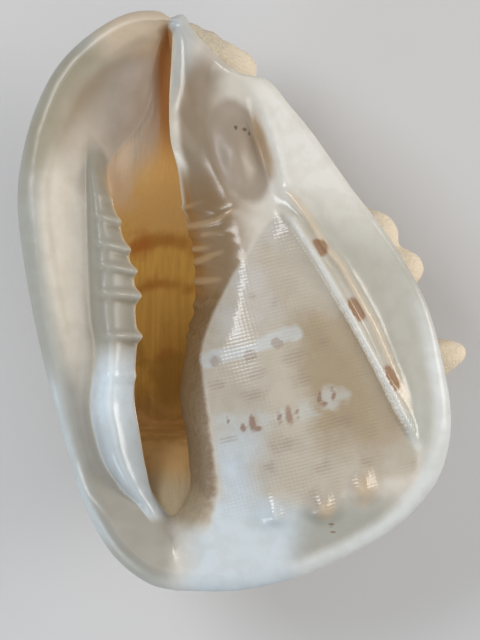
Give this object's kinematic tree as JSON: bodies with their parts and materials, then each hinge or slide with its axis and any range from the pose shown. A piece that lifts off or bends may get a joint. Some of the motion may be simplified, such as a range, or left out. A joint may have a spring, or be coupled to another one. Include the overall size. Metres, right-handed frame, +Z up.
{
  "type": "helmet shell",
  "caption": "Large horned helmet sea shell lying on its back, with a long toothed mouth, a flared outer lip and a broad glossy shield.",
  "frame": {"origin": "centre of the base, under the middle of the shell's outline", "axes": "+Z up out of the mouth, +Y along the shell towards the siphonal canal, +X towards the shield's side"},
  "size_m": [0.1891, 0.2424, 0.1339],
  "materials": {
    "shell": "natural shell: porcelain-like gloss on the mouth side, matt sandy back, amber inside the mouth"
  },
  "bodies": {
    "root": {"shell": "shell"}
  },
  "joints": []
}
